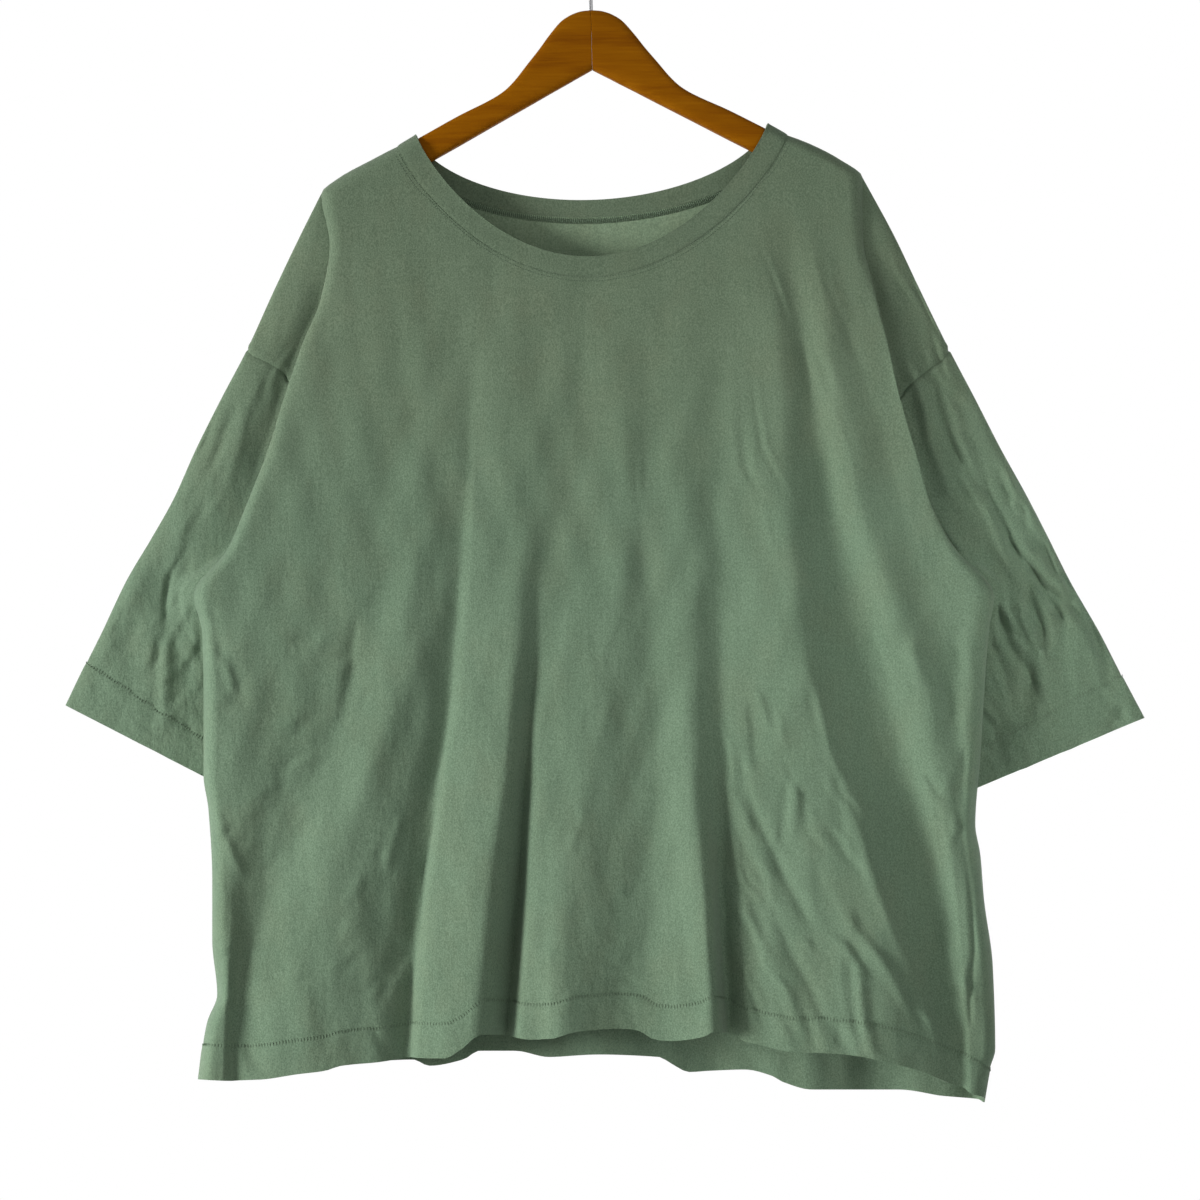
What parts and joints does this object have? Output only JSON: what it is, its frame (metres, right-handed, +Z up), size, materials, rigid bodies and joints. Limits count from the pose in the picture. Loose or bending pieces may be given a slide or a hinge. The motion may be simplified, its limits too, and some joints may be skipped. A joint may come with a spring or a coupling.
{
  "type": "drop-shoulder t-shirt with three-quarter sleeves on a wooden hanger",
  "caption": "Wide scoop-neck jersey t-shirt with drop shoulders and flared sleeves, hanging in soft folds on a varnished wooden hanger with a wire hook.",
  "frame": {"origin": "inside top of the hanger's hook, where it hangs on a rail", "axes": "+X to the right of someone who faces the front, +Y towards the back, +Z up; the front faces -Y"},
  "size_m": [0.8716, 0.0717, 0.932],
  "materials": {
    "jersey": "matt sage-green cotton jersey",
    "binding": "matt sage-green cotton binding",
    "varnished_wood": "orange-brown varnish",
    "hook_wire": "bright drawn wire"
  },
  "bodies": {
    "root": {"front_panel": "jersey", "back_panel": "jersey", "sleeve_left": "jersey", "sleeve_right": "jersey", "neck_band": "binding", "hanger_arm_left": "varnished_wood", "hanger_arm_right": "varnished_wood", "hook": "hook_wire"}
  },
  "joints": []
}
